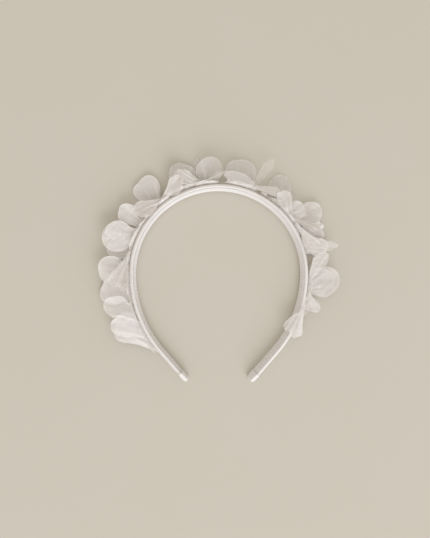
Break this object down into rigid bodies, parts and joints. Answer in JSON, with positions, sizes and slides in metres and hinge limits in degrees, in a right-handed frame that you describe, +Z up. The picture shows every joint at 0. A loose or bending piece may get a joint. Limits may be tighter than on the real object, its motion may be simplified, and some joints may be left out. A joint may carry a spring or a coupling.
{
  "type": "flower crown",
  "caption": "Springy open hair band covered in pale fabric, with clusters of gathered sheer petals sewn along its outer face.",
  "frame": {"origin": "middle of the footprint, on the surface that the band lies on", "axes": "+Z up from that surface, +Y towards the top of the crown, the two open ends towards -Y"},
  "size_m": [0.1632, 0.1562, 0.0178],
  "materials": {
    "core_plastic": "satin moulded strip",
    "cover_fabric": "smooth satin weave",
    "ribbed_lining": "ribbed weave, matt",
    "petal_tape": "fine plain weave, matt",
    "organza": "sheer organza, soft sheen",
    "thread": "cotton thread"
  },
  "bodies": {
    "root": {"band_core": "core_plastic", "band_cover": "cover_fabric", "band_lining": "ribbed_lining", "petal_tape": "petal_tape", "end_tab_left": "cover_fabric", "end_tab_right": "cover_fabric", "flower_1_petal_1": "organza", "flower_1_petal_2": "organza", "flower_1_petal_3": "organza", "flower_1_knot": "thread", "flower_2_petal_1": "organza", "flower_2_petal_2": "organza", "flower_2_petal_3": "organza", "flower_2_knot": "thread", "flower_3_petal_1": "organza", "flower_3_petal_2": "organza", "flower_3_petal_3": "organza", "flower_3_petal_4": "organza", "flower_3_knot": "thread", "flower_4_petal_1": "organza", "flower_4_petal_2": "organza", "flower_4_petal_3": "organza", "flower_4_knot": "thread", "flower_5_petal_1": "organza", "flower_5_petal_2": "organza", "flower_5_petal_3": "organza", "flower_5_knot": "thread", "flower_6_petal_1": "organza", "flower_6_petal_2": "organza", "flower_6_petal_3": "organza", "flower_6_knot": "thread", "flower_7_petal_1": "organza", "flower_7_petal_2": "organza", "flower_7_petal_3": "organza", "flower_7_petal_4": "organza", "flower_7_petal_5": "organza", "flower_7_knot": "thread", "flower_8_petal_1": "organza", "flower_8_petal_2": "organza", "flower_8_petal_3": "organza", "flower_8_petal_4": "organza", "flower_8_petal_5": "organza", "flower_8_knot": "thread", "flower_9_petal_1": "organza", "flower_9_petal_2": "organza", "flower_9_petal_3": "organza", "flower_9_petal_4": "organza", "flower_9_knot": "thread", "flower_10_petal_1": "organza", "flower_10_petal_2": "organza", "flower_10_petal_3": "organza", "flower_10_petal_4": "organza", "flower_10_petal_5": "organza", "flower_10_knot": "thread", "flower_11_petal_1": "organza", "flower_11_petal_2": "organza", "flower_11_knot": "thread"}
  },
  "joints": []
}
